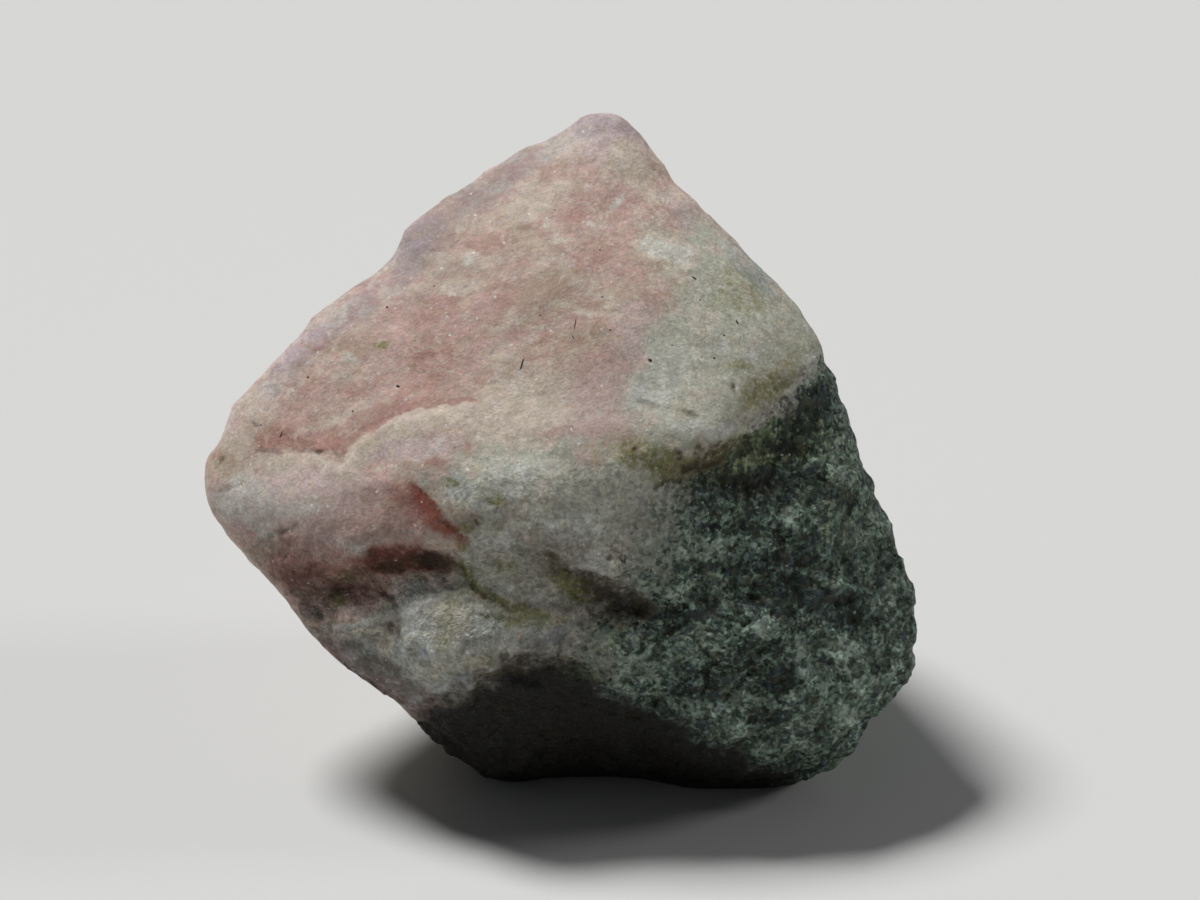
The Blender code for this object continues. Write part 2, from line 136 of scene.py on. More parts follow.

# Soft ovals of each kind of rock, stain, painted shade or painted light: across, down, half length, half
# width, strength in percent and turn in degrees up to the right. A strength of 100 and a turn of 0 are left
# out.
PATCHES = {
    "pink": [
        (420, 330, 80, 36, 100, 30), (500, 296, 40, 26, 80, 35), (577, 220, 24, 20, 80, 20),
        (606, 252, 40, 26, 90, 10), (486, 245, 30, 14, 90, 10), (620, 200, 26, 18, 70, 20),
        (600, 372, 36, 30, 80, 30), (640, 335, 28, 34, 70), (440, 375, 60, 22, 90, 25),
        (330, 400, 70, 22, 80, 20), (371, 414, 28, 9, 100, 24), (300, 440, 44, 10, 90, 8),
        (430, 225, 36, 24, 60, 35), (590, 165, 50, 20, 40, 25), (608, 430, 40, 22, 80, 15),
        (590, 392, 26, 22, 70), (330, 345, 50, 10, 80, 10), (330, 540, 80, 30, 70), (385, 500, 60, 26, 80),
        (440, 462, 20, 8, 80, 12), (310, 580, 50, 24, 80, -25), (384, 672, 30, 12, 70, -35),
        (450, 694, 40, 8, 50, 10), (400, 596, 14, 8, 50), (540, 608, 14, 8, 60)],
    "deep": [
        (430, 358, 34, 16, 60, 35), (436, 312, 34, 14, 50, 40), (486, 246, 18, 9, 55, 10),
        (598, 262, 24, 14, 35, 10), (550, 334, 14, 7, 40, 20), (452, 396, 22, 7, 80, 8),
        (420, 390, 28, 9, 70, 28), (540, 350, 30, 10, 50, 20), (466, 447, 18, 7, 75, 10),
        (434, 463, 18, 6, 60, 12), (360, 388, 24, 12, 60, 20), (414, 506, 30, 16, 90, -35),
        (330, 562, 60, 12, 50), (290, 572, 24, 12, 80, -40), (500, 300, 12, 18, 50, -10),
        (577, 216, 12, 10, 50), (312, 347, 14, 5, 60)],
    "lilac": [
        (608, 138, 50, 26, 90), (415, 240, 34, 28, 80, 40), (245, 415, 36, 18, 60, 45),
        (415, 446, 56, 12, 90, 6), (300, 500, 80, 30, 90, 5), (350, 600, 40, 16, 50, -35),
        (636, 330, 26, 34, 70), (604, 408, 44, 40, 60), (690, 212, 34, 16, 60, -45), (590, 505, 36, 44, 70),
        (330, 548, 30, 12, 60), (298, 346, 34, 14, 80, 38), (484, 588, 30, 10, 60), (418, 624, 20, 30, 90),
        (484, 636, 20, 22, 60), (550, 634, 40, 16, 70, 8), (446, 694, 44, 10, 90, 12),
        (370, 662, 46, 22, 100, -42)],
    "cream": [
        (505, 392, 30, 12, 100, 10), (504, 432, 36, 10, 90, 5), (516, 412, 52, 20, 120, 8),
        (546, 390, 32, 18, 80, 10), (564, 147, 30, 14, 70, 25), (526, 208, 28, 16, 90, 15),
        # The patch at (632, 166) is painted light, where the peak's surface turns from the light.
        (471, 261, 12, 9), (458, 288, 24, 8, 100, 5), (632, 166, 26, 14, 120, -50), (531, 440, 24, 8),
        (345, 372, 26, 10, 50, 20), (262, 396, 34, 12, 60, 40), (238, 446, 16, 14, 70, 30),
        (300, 463, 44, 6, 80), (420, 212, 16, 6, 50, 30), (530, 352, 30, 8, 40, 15), (700, 320, 20, 12, 40),
        (360, 445, 8, 18, 100, -32), (453, 541, 5, 4, 90)],
    "tan": [
        (524, 243, 24, 18, 60), (545, 292, 44, 26, 55, 20), (580, 340, 34, 14, 70, 15),
        (350, 346, 50, 7, 70, 12), (256, 430, 22, 18, 60, 30), (618, 296, 34, 16, 50, 15),
        (474, 228, 30, 10, 40, 20), (660, 262, 24, 12, 60, -20), (480, 336, 34, 10, 40, 25),
        (660, 320, 30, 24, 40), (255, 550, 30, 9, 60, 25), (470, 375, 40, 10, 30, 20),
        (226, 468, 9, 16, 70), (389, 509, 10, 3, 80, -25)],
    "white": [
        (246, 500, 30, 22, 100, -20), (262, 528, 26, 10, 80, -45), (300, 508, 30, 10, 60, 5),
        (650, 502, 16, 14, 50), (675, 368, 46, 26, 45, 12), (570, 530, 40, 24, 55), (650, 395, 22, 14, 80),
        (700, 428, 30, 9, 80, -4), (616, 204, 15, 3, 70, 50), (591, 225, 4, 3), (470, 262, 7, 5),
        (592, 562, 26, 12, 90, -14), (458, 500, 20, 6, 80, 20), (478, 506, 22, 8, 90),
        (520, 470, 44, 14, 70, 5), (745, 320, 30, 16, 40, -30), (716, 348, 26, 10, 50, 20),
        (496, 550, 20, 16, 70), (352, 356, 10, 6, 60), (700, 285, 16, 10, 40), (570, 440, 24, 8, 30, 10),
        # The patches at (440, 592) and (540, 598) are painted light, lighter where the relief shades the
        # boulder's top and the valley's edge.
        (496, 589, 18, 9), (466, 574, 8, 10, 80), (440, 592, 32, 9, 120, 6), (508, 534, 14, 8, 60),
        (506, 490, 22, 10, 70), (752, 356, 18, 8, 60, 20), (540, 598, 20, 7, 60, -12),
        (255, 520, 14, 8, 80, -40), (395, 660, 12, 9, 80), (410, 600, 22, 16, 110), (440, 655, 20, 12, 60),
        (500, 590, 20, 10, 60, -10), (470, 640, 20, 14, 40), (360, 552, 16, 9, 60, -20)],
    "olive": [
        (762, 387, 34, 15, 62, 25), (790, 366, 26, 12, 40, 40), (760, 452, 70, 16, 90, 5),
        (806, 430, 30, 26, 60), (720, 474, 50, 10, 70), (384, 342, 9, 5, 70), (520, 610, 36, 8, 60, -8),
        (452, 484, 12, 6, 60, -10), (498, 503, 12, 6, 60, -20), (466, 530, 10, 7, 60, -45),
        (463, 548, 8, 6, 60, -30), (740, 300, 34, 30, 40, -40), (576, 584, 34, 12, 80, -32),
        (530, 620, 40, 10, 60), (502, 566, 14, 7, 50, -20), (334, 598, 12, 8, 70),
        (556, 678, 44, 10, 100, 5), (474, 592, 10, 6, 60, -30), (840, 500, 40, 60, 30),
        (614, 640, 16, 20, 40), (800, 350, 16, 14, 30), (340, 579, 22, 5, 50), (742, 366, 16, 7, 50, 20),
        (490, 660, 12, 8, 40)],
    # Rose red: partly the stone's deep pink, partly painted shade in the recess, the wedge's crease and the
    # valley at the lower left.
    "rose": [
        (394, 555, 32, 14, 95, 8), (402, 564, 54, 13, 90), (330, 580, 60, 18, 55, -10),
        (432, 518, 20, 10, 60, -45), (310, 552, 50, 16, 35, -15), (634, 450, 5, 3, 90)],
    # Painted shade: darker grey where the lower front lies in shade; on the hidden sides grey is grey rock.
    "grey": [
        (352, 648, 30, 12, 30, -40), (556, 650, 50, 26, 60, 5), (326, 634, 22, 8, 40, -40),
        (590, 590, 40, 14, 70, -32), (528, 618, 34, 10, 40), (316, 602, 30, 8, 35, -30),
        (312, 614, 14, 7, 90, -30), (350, 590, 44, 8, 40), (480, 680, 40, 10, 40, 8),
        (644, 530, 24, 50, 35), (330, 540, 70, 16, 35), (400, 578, 24, 6, 40)],
    # Brown spots and stains; the first five patches, in the recess and the valley at the lower left, are
    # painted shade.
    "brown": [
        (436, 562, 24, 9, 100, -8), (396, 568, 30, 7, 70), (360, 569, 12, 6, 40), (324, 588, 24, 5, 50, -5),
        (300, 592, 14, 8, 60, -40), (476, 525, 5, 3, 80, -40), (392, 628, 5, 7, 70), (635, 450, 6, 4, 90),
        (679, 452, 4, 6, 80), (729, 386, 3, 8, 70), (223, 464, 4, 5, 50), (248, 458, 3, 2, 40),
        (286, 531, 6, 2.5, 60, 30), (257, 425, 5, 4, 50), (319, 451, 6, 3, 80), (628, 602, 40, 10, 70, -10),
        (755, 446, 36, 8, 80, 5), (473, 585, 6, 3, 60, -50), (857, 704, 6, 5, 60),
        (672, 256, 6, 3, 40, -30)],
    # Painted shade: darker patches where the front lies in shade, in its recesses, low down and along its
    # upper left edge.
    "painted_shade": [
        (310, 582, 42, 16, 100, -20), (284, 556, 36, 20, 55, -45), (345, 512, 64, 20, 36),
        (396, 512, 44, 20, 36), (426, 478, 30, 15, 42, 20), (394, 557, 34, 12, 95, 10),
        (430, 561, 28, 10, 90, -10), (364, 571, 24, 8, 90, 20), (382, 676, 44, 14, 100, -34),
        (438, 614, 14, 8, 30), (460, 628, 24, 12, 40), (425, 289, 20, 9, 20, 30), (586, 448, 20, 10, 25),
        (594, 385, 54, 56, 14), (516, 674, 54, 14, 90, 8), (556, 556, 38, 22, 60), (532, 661, 36, 9, 90, 4),
        (352, 656, 46, 16, 70, -45), (400, 688, 40, 12, 60, -30), (596, 588, 34, 11, 100, -32),
        (630, 607, 30, 10, 90, -8), (454, 562, 12, 8, 50), (346, 583, 34, 9, 75),
        (316, 611, 20, 9, 90, -30), (450, 698, 36, 9, 80, 14), (772, 388, 50, 24, 40, 30),
        (700, 465, 44, 12, 60, 10), (765, 450, 40, 14, 60, 5), (756, 485, 44, 13), (232, 458, 24, 20, 30),
        (545, 300, 60, 30, 20, 20), (592, 430, 50, 20, 22), (452, 213, 66, 14, 30, 33),
        (426, 251, 34, 16, 45, 38), (370, 497, 40, 13, 50), (452, 272, 22, 12, 30),
        (372, 414, 26, 9, 30, 22), (376, 640, 20, 9, 50, -20), (411, 467, 14, 7, 35), (337, 481, 14, 8, 30),
        (357, 337, 22, 10, 25, 20), (576, 376, 24, 14, 20), (456, 401, 24, 6, 20, 10),
        (574, 456, 24, 10, 25), (661, 436, 14, 7, 30), (222, 495, 12, 14, 25), (470, 520, 16, 16, 30)],
    # Pale grains of the host rock; on its raised lumps and along its right edge also painted light, where
    # their tops and the rim catch the light.
    "pale_and_lit_host": [
        (645, 530, 24, 50, 90), (767, 624, 14, 12, 110, 10), (686, 641, 14, 6, 100, 30), (709, 642, 14, 9),
        (795, 647, 10, 10), (845, 649, 18, 12), (807, 675, 12, 9), (860, 685, 26, 12, 70, 20),
        (848, 717, 14, 10, 100, 20), (834, 700, 24, 14, 70, 20), (712, 709, 26, 10, 70, 10),
        (748, 699, 18, 9, 90, 10), (752, 738, 16, 6, 30, 10), (790, 704, 16, 6, 70, 20),
        (796, 750, 12, 7, 80, 20), (747, 460, 11, 6), (845, 475, 18, 10, 60, -50), (790, 518, 10, 9, 90),
        (881, 523, 8, 12, 80, 20), (838, 542, 14, 9, 80), (860, 533, 10, 8, 60), (682, 532, 22, 14, 50),
        (596, 650, 24, 18, 80), (632, 665, 14, 10, 130), (697, 657, 10, 7, 80), (896, 590, 10, 24, 70),
        (850, 673, 12, 8, 90), (740, 545, 24, 10, 40, 10), (702, 552, 24, 14, 100, 10),
        (658, 664, 14, 8, 80), (700, 585, 40, 10, 40, 5), (690, 560, 24, 14, 50),
        (818, 372, 8, 18, 60, -50), (840, 450, 8, 20, 50, 20), (642, 586, 16, 8, 60, -20)],
    "calm_host": [
        (852, 560, 44, 80), (836, 690, 50, 50, 80)],
    "black_host": [
        (750, 480, 34, 10, 100, 5), (785, 580, 26, 12, 90), (628, 610, 36, 9, 90, -5),
        (778, 678, 20, 12, 100, -30), (790, 444, 30, 10, 90, 5), (688, 675, 20, 7, 90),
        (722, 681, 12, 7, 90), (846, 612, 34, 8, 90), (714, 618, 28, 7, 90), (690, 694, 30, 7, 70, -10),
        (714, 508, 26, 9, 90), (767, 507, 16, 7, 80), (775, 726, 20, 6, 40, -10), (792, 560, 20, 8, 90),
        (808, 410, 18, 30, 100, -20), (806, 599, 44, 13), (745, 585, 14, 8, 80), (825, 503, 14, 10, 60),
        (738, 501, 16, 8, 80), (722, 572, 18, 8, 90)],
    "violet": [
        (412, 634, 26, 40, 70), (366, 664, 40, 18, 80, -42), (430, 690, 40, 14, 80, 12),
        (484, 636, 18, 20, 70), (545, 634, 36, 14, 70, 8), (608, 126, 40, 14, 50), (452, 480, 30, 16, 60),
        (752, 270, 14, 40, 70, 40)],
}

# Patches where the picture shows nothing: the noise level that they start at (lower for more), strength.
# Each kind's noise is seeded by its place in PATCHES.
HIDDEN_PATCHES = {
    "pink": (-0.15, 0.9), "deep": (0.25, 0.7), "lilac": (0.0, 0.8), "cream": (0.05, 0.8),
    "tan": (0.15, 0.6), "white": (0.3, 0.7), "olive": (0.5, 0.5), "grey": (0.4, 0.5),
    "pale_and_lit_host": (0.1, 0.6), "black_host": (0.1, 0.7),
}
HIDDEN_PATCH_SIZE = 2.2
HIDDEN_PATCH_EDGE = 0.35
HIDDEN_PATCH_SEED = 41

# Lines that several tables share: the curved ledge and the valley below the white block.
LEDGE = [(361, 441), (380, 428), (398, 419), (430, 412), (470, 404)]
VALLEY = [(550, 554), (573, 568), (601, 577), (623, 587), (652, 604)]

# How many times faster a band fades on its unwanted side.
BAND_EDGE = 6.0
# Bands along a line: points, half width, strength, and side if only one (1 left along the line, -1 right).
BANDS = {
    "deep": [
        ([(266, 449), (300, 449), (335, 448), (350, 452), *LEDGE, (500, 396)], 17.0, 0.85, 1)],
    "cream": [
        ([(342, 470), (350, 453), *LEDGE, (510, 396)], 15.0, 1.1, -1),
        ([(318, 632), (350, 628), (372, 622)], 5.0, 0.8),
        ([(648, 244), (666, 250), (686, 255)], 11.0, 2.2)],
    "olive": [
        ([(470, 570), (458, 596), (448, 620), (442, 646)], 8.0, 0.4),
        ([(664, 466), (690, 471), (722, 462), (752, 448), (778, 434)], 18.0, 0.9),
        ([(630, 453), (664, 466)], 17.0, 0.65),
        ([(462, 566), (478, 588), (500, 604), (540, 612)], 6.0, 0.7)],
    "tan": [
        ([(422, 486), (440, 504), (462, 528)], 9.0, 0.8, 1),
        ([(610, 450), (640, 462), (690, 478)], 22.0, 0.8)],
    # Rose in the wedge's crease: deep pink, and painted shade.
    "rose": [
        ([(414, 486), (424, 492), (434, 503)], 12.0, 0.4, -1),
        ([(426, 495), (437, 507), (447, 519), (460, 532)], 17.0, 0.95, -1)],
    "brown": [
        ([(444, 516), (450, 523), (461, 533)], 3.5, 0.6, -1),
        ([(684, 468), (710, 460), (730, 453), (758, 444)], 4.5, 0.9),
        ([(652, 488), (673, 482), (693, 490)], 3.5, 0.7),
        ([(700, 450), (724, 446), (750, 438), (772, 426), (790, 412)], 7.0, 0.7),
        (VALLEY, 4.0, 0.7),
        ([(458, 564), (472, 584), (485, 598)], 2.5, 0.5),
        ([(640, 402), (656, 406), (680, 410), (696, 416)], 2.2, 0.3)],
    "white": [
        ([(745, 428), (766, 412), (792, 390), (812, 358)], 5.0, 0.8),
        ([(326, 628), (350, 626), (370, 622)], 5.0, 1.1),
        ([(652, 245), (668, 251), (684, 255)], 9.0, 1.5),
        ([(414, 700), (446, 690), (480, 672), (500, 664)], 5.0, 0.5)],
    # Painted shade along the upper left edge, bluer and a little darker.
    "violet": [
        ([(268, 388), (316, 338), (342, 314), (380, 290), (404, 264), (418, 240), (442, 214), (480, 190),
          (520, 164), (562, 138), (590, 124)], 14.0, 0.75)],
}

# Cracks: points, half width in pixels, depth in mm.
CRACKS = [
    ([(258, 453), (280, 453), (317, 451), (332, 453), (345, 456)], 1.4, 0.04),
    ([(225, 490), (234, 486), (243, 483)], 1.8, 0.04),
    ([(249, 549), (262, 541), (278, 534), (297, 525)], 2.2, 0.05),
    ([(446, 519), (453, 526), (461, 533)], 2.2, 0.07),
    ([(373, 580), (383, 590), (392, 599)], 2.8, 0.08),
    ([(397, 606), (399, 620), (400, 636)], 2.8, 0.10),
    ([(527, 545), *VALLEY], 2.6, 0.09),
    ([(639, 402), (656, 407), (676, 409), (697, 416)], 2.0, 0.035),
    ([(580, 167), (587, 164), (596, 160)], 1.6, 0.03),
    ([(458, 566), (472, 584), (489, 599), (512, 610)], 2.2, 0.05),
]

# Steps, raised on the left when walking along them: points, height in mm, reach and half width of the drop.
STEPS = [
    ([(344, 466), *LEDGE], -0.035, 12.0, 4.0),
    ([(424, 493), (437, 507), (447, 519), (460, 532)], 0.06, 20.0, 4.0),
    ([(296, 590), (322, 582), (352, 570), (375, 561), (400, 556), (430, 556), (457, 562)], 0.22, 50.0, 11.0),
    ([(322, 618), (350, 626), (375, 624), (396, 614)], 0.07, 14.0, 4.0),
    ([(527, 545), *VALLEY], 0.14, 30.0, 7.0),
    ([(398, 598), (398, 622), (402, 645), (410, 664)], 0.06, 20.0, 4.0),
    ([(650, 456), (700, 458), (745, 442), (775, 424), (800, 396), (817, 366)], 0.07, 24.0, 8.0),
    ([(628, 398), (634, 374), (652, 346)], -0.03, 12.0, 4.0),
    ([(700, 262), (672, 270), (652, 258), (638, 242)], 0.04, 12.0, 3.0),
]

# Broad swells (height above 0) and hollows (below 0): points, height in mm, half width in pixels.
SWELLS = [
    ([(225, 500), (290, 520), (360, 512), (420, 480), (490, 492), (560, 488), (620, 470), (690, 452)],
     0.42, 46.0),
    ([(480, 596), (520, 606), (580, 612), (640, 612)], -0.06, 20.0),
    ([(318, 668), (360, 694), (420, 714), (480, 706), (540, 680), (600, 684), (640, 706)], -0.40, 26.0),
    ([(700, 474), (760, 484), (800, 480)], -0.25, 26.0),
    ([(640, 640), (700, 628), (770, 636), (805, 690), (850, 668)], 0.20, 26.0),
    ([(720, 660), (779, 680)], -0.25, 20.0),
    ([(700, 590), (790, 578)], -0.16, 22.0),
]

# Small bumps (height above 0) and pits (below 0): across, down, radius in pixels, height in mm.
SPOTS = [
    (223, 464, 5, -0.06), (284, 531, 7, -0.05), (730, 386, 5, -0.05), (392, 628, 6, -0.10),
    (476, 525, 5, -0.07), (414, 616, 14, 0.05), (436, 606, 14, 0.04), (424, 648, 16, 0.05),
    (482, 636, 18, 0.06), (448, 668, 14, 0.05), (504, 655, 14, 0.05), (395, 660, 10, 0.07),
    (545, 634, 16, 0.07), (575, 642, 14, 0.08), (606, 652, 12, 0.12), (442, 622, 6, -0.04),
    (464, 650, 7, -0.04), (340, 640, 12, 0.05), (366, 648, 12, 0.06), (350, 660, 8, -0.05),
    (767, 624, 15, 0.20), (712, 626, 13, 0.16), (845, 649, 17, 0.16), (807, 675, 12, 0.18),
    (795, 647, 10, 0.14), (848, 717, 13, 0.16), (712, 709, 16, 0.14), (752, 736, 15, 0.14),
    (790, 518, 10, 0.14), (845, 476, 14, 0.15), (881, 523, 9, 0.12), (747, 460, 9, 0.12),
    (656, 556, 16, 0.08), (624, 652, 16, 0.12), (686, 641, 9, 0.12), (860, 688, 15, 0.12),
    (668, 528, 12, 0.06), (826, 530, 14, 0.10), (870, 600, 15, 0.12), (796, 750, 11, 0.10),
]

# The stone's sharp tips, which smoothing wears down: place in mm, radius and height given back.
TIPS = [((-11.9, -1.2, 10.7), 1.5, 0.20), ((1.3, 5.4, 20.6), 1.6, 0.14)]


def ramp(low, high, values):
    share = np.clip((values - low) / (high - low), 0.0, 1.0)
    return share * share * (3.0 - 2.0 * share)


def bell(distance, radius):
    """1 at distance 0, falling smoothly to nearly 0 at twice the radius."""
    return np.exp(-((distance / radius) ** 2))


def lumps(points, size, seed, octaves=1):
    """Noise of about -1 to 1 at each point, with lumps about size mm wide."""
    shift = np.array((7.31, 3.17, 5.73)) * seed
    rows = (points / size + shift).tolist()
    if octaves == 1:
        return np.array([noise.noise(row) for row in rows])
    return np.array([noise.fractal(row, 0.9, 2.0, octaves) for row in rows])


def knobs(points, size, seed, octaves):
    """Round lumps with sharp creases between them, about -1 to 1."""
    shift = np.array((1.37, 8.11, 3.59)) * seed
    rows = (points / size + shift).tolist()
    heights = [noise.turbulence(row, octaves, True, amplitude_scale=0.55) for row in rows]
    return np.array(heights) * 1.6 - 1.0


def fracture(points, size, seed):
    """Flat cells, each tilted its own way, as on a broken face: about -1 to 1."""
    shift = np.array((2.17, 9.41, 4.63)) * seed
    heights = []
    for row in (points / size + shift).tolist():
        centre = noise.voronoi(row)[1][0]
        tilt = noise.cell_vector(centre * 17.0)
        away = Vector(row) - centre
        heights.append(away.dot(tilt * 2.0 - Vector((1.0, 1.0, 1.0))))
    return np.array(heights)


def layered(points):
    """The points squeezed along the rock's layering, which turns noise into streaks."""
    along = points @ LAYER_ALONG
    return points - np.outer(along * (1.0 - 1.0 / LAYER_STRETCH), LAYER_ALONG)


def picture_place(points):
    """Where points show on the picture, across and down in pixels."""
    offset = points - CAMERA_AIM
    towards = offset @ TO_CAMERA
    pixels = CAMERA_DISTANCE / (CAMERA_DISTANCE - towards) * PIXELS_PER_MM
    across = PICTURE_MIDDLE[0] + (offset @ RIGHT) * pixels
    down = PICTURE_MIDDLE[1] - (offset @ UP) * pixels
    return across, down


def bent_place(points, bends, hidden):
    """Where points show on the picture, moved in bends."""
    across, down = picture_place(points)
    for reach, hidden_reach, size, (across_seed, down_seed), octaves in bends:
        reach = reach + hidden_reach * hidden
        across = across + reach * lumps(points, size, across_seed, octaves)
        down = down + reach * lumps(points, size, down_seed, octaves)
    return across, down


def line_distance(across, down, line):
    """Distance from a line, its side (1 left when walking along it, -1 right), distance past its ends."""
    best = np.full(len(across), np.inf)
    side = np.ones(len(across))
    past_end = np.zeros(len(across))
    last = len(line) - 2
    for number, (start, end) in enumerate(zip(line[:-1], line[1:])):
        run = np.array(end, float) - np.array(start, float)
        length = hypot(*run)
        run = run / length
        off_x = across - start[0]
        off_y = down - start[1]
        along = off_x * run[0] + off_y * run[1]
        beside = off_x * run[1] - off_y * run[0]
        distance = np.hypot(along - np.clip(along, 0.0, length), beside)
        nearer = distance < best
        best[nearer] = distance[nearer]
        side[nearer] = np.where(beside[nearer] >= 0.0, 1.0, -1.0)
        before = -along * (number == 0)
        beyond = (along - length) * (number == last)
        past_end[nearer] = np.maximum(before, beyond).clip(0.0)[nearer]
    return best, side, past_end


def outline_zone(across, down, outline, edge):
    """1 inside a closed outline and 0 outside it, with a soft edge."""
    closed = outline + outline[:1]
    distance = line_distance(across, down, closed)[0]
    within = False
    for (x0, y0), (x1, y1) in zip(closed[:-1], closed[1:]):
        crosses = (y0 > down) != (y1 > down)
        slope = (x1 - x0) / (y1 - y0) if y1 != y0 else 0.0
        within ^= crosses & (across < x0 + (down - y0) * slope)
    return ramp(-edge[0], edge[1], np.where(within, distance, -distance))


def patch(across, down, middle_x, middle_y, half_long, half_wide, percent=100.0, turn=0.0):
    """A soft oval: its strength in the middle, half of it at its edge, 0 a bit outside."""
    angle = radians(turn)
    off_x = across - middle_x
    off_y = middle_y - down
    along = off_x * cos(angle) + off_y * sin(angle)
    beside = off_y * cos(angle) - off_x * sin(angle)
    distance = np.hypot(along / half_long, beside / half_wide)
    return percent / 100.0 * ramp(1.6, 0.4, distance)


def band(across, down, line, half_width, strength, wanted_side=0):
    """A soft band along a line, cut short on the side where it is not wanted."""
    distance, side, _ = line_distance(across, down, line)
    distance = np.where(side * wanted_side < 0, distance * BAND_EDGE, distance)
    return strength * ramp(1.7 * half_width, 0.3 * half_width, distance)


def read_rows(collection, name, width=3, kind=np.float64):
    values = np.empty(len(collection) * width, kind)
    collection.foreach_get(name, values)
    return values.reshape(-1, width)


def read_edges(mesh):
    return read_rows(mesh.edges, "vertices", 2, np.int64)


def write_points(mesh, points):
    mesh.vertices.foreach_set("co", points.astype(np.float32).ravel())
    mesh.update()


def neighbour_mean(points, edges):
    first, second = edges[:, 0], edges[:, 1]
    count = np.bincount(edges.ravel(), minlength=len(points))
    mean = np.empty_like(points)
    for axis in range(3):
        total = np.bincount(first, points[second, axis], len(points))
        total += np.bincount(second, points[first, axis], len(points))
        mean[:, axis] = total / count
    return mean


def smoothed(points, edges, passes, factors):
    for _ in range(passes):
        for factor in factors:
            points = points + factor * (neighbour_mean(points, edges) - points)
    return points


def place(name, data):
    """Puts a mesh, light or camera in the scene."""
    placed = bpy.data.objects.new(name, data)
    bpy.context.scene.collection.objects.link(placed)
    return placed


def make_piece(name, mesh, material):
    mesh.name = name
    mesh.materials.clear()
    mesh.materials.append(material)
    return place(name, mesh)


def fine_mesh(source):
    """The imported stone's form in mm, as an even mesh of small cells."""
    start = source.data.copy()
    write_points(start, read_rows(start.vertices, "co") / METRES_PER_MM)
    holder = place("remesh_holder", start)
    remesh = holder.modifiers.new("cells", "REMESH")
    remesh.mode = "VOXEL"
    remesh.voxel_size = CELL
    remeshed = holder.evaluated_get(bpy.context.evaluated_depsgraph_get())
    mesh = bpy.data.meshes.new_from_object(remeshed)
    bpy.data.objects.remove(holder)
    points = read_rows(mesh.vertices, "co")
    write_points(mesh, smoothed(points, read_edges(mesh), SMOOTH_PASSES, SMOOTH_FACTORS))
    return mesh


def refine_front(mesh):
    """Divides the front's faces, so that its small forms come out sharp."""
    work = bmesh.new()
    work.from_mesh(mesh)
    work.normal_update()
    chosen = [face for face in work.faces if np.dot(face.normal, TO_CAMERA) > FRONT_MIN_FACING]
    edges = sorted({edge for face in chosen for edge in face.edges}, key=lambda edge: edge.index)
    bmesh.ops.subdivide_edges(work, edges=edges, cuts=1, use_grid_fill=True)
    bmesh.ops.triangulate(work, faces=work.faces)
    work.to_mesh(mesh)
    work.free()
    mesh.update()


def drawn_zone(across, down, kind):
    """How much of a kind of rock its ovals and bands put at each place."""
    amount = 0.0
    for row in PATCHES[kind]:
        amount = np.maximum(amount, patch(across, down, *row))
    for row in BANDS.get(kind, []):
        amount = np.maximum(amount, band(across, down, *row))
    return amount


def hidden_zone(points, kind, seed):
    """How much of a kind of rock the noise puts where the picture shows nothing."""
    if kind not in HIDDEN_PATCHES:
        return 0.0
    start, strength = HIDDEN_PATCHES[kind]
    level = lumps(points, HIDDEN_PATCH_SIZE, seed, 3)
    return strength * ramp(start, start + HIDDEN_PATCH_EDGE, level)


def dark_zone(across, down):
    """The dark host rock, with a wider edge on its lower left."""
    soft_side = ramp(*SOFT_LEFT_OF, across) * ramp(*SOFT_BELOW, down)
    half_edge = DARK_EDGE + DARK_EXTRA_EDGE * soft_side
    return outline_zone(across, down, DARK_ROCK, (half_edge, half_edge))


def rock_zones(points, facing):
    """How much of each kind of rock shows at each point: 0 to 1, more in strong patches."""
    hidden = ramp(*HIDDEN_FACING, facing)
    across, down = bent_place(points, ZONE_BENDS, hidden)
    zones = {}
    for seed, kind in enumerate(PATCHES, HIDDEN_PATCH_SEED):
        elsewhere = hidden_zone(points, kind, seed)
        zones[kind] = drawn_zone(across, down, kind) * (1.0 - hidden) + elsewhere * hidden
    zones["dark"] = dark_zone(across, down)
    zones["murk"] = outline_zone(across, down, DARK_ROCK, MURK_EDGE) * ramp(*GRAINY_FROM, down)
    for kind, edge, outline in OUTLINES:
        zones[kind] = np.maximum(zones.get(kind, 0.0), outline_zone(across, down, outline, edge))
    return zones


def front_relief(across, down):
    """Steps, cracks, swells and pits of the front, in mm towards the camera."""
    height = 0.0
    for line, half_width, depth in CRACKS:
        height -= depth * bell(line_distance(across, down, line)[0], half_width)
    for line, rise, reach, half_drop in STEPS:
        distance, side, past_end = line_distance(across, down, line)
        fade = bell(past_end, 0.5 * reach)
        levels_out = np.exp(-np.maximum(distance - half_drop, 0.0) / reach)
        drop = np.sin(0.5 * np.pi * np.clip(distance * side / half_drop, -1.0, 1.0))
        height += rise * drop * levels_out * fade
    for line, rise, half_width in SWELLS:
        height += rise * bell(line_distance(across, down, line)[0], half_width)
    for middle_x, middle_y, radius, rise in SPOTS:
        height += rise * bell(np.hypot(across - middle_x, down - middle_y), radius)
    return height


def crack_dirt(points, across, down):
    """Dirt along the cracks, 0 to 1."""
    dirt = 0.0
    for line, half_width, _ in CRACKS:
        dirt = np.maximum(dirt, bell(line_distance(across, down, line)[0], half_width + 0.3))
    dirt *= 0.5 + 0.9 * lumps(points, 0.6, 15, 2)
    return np.clip(dirt, 0.0, 1.0)


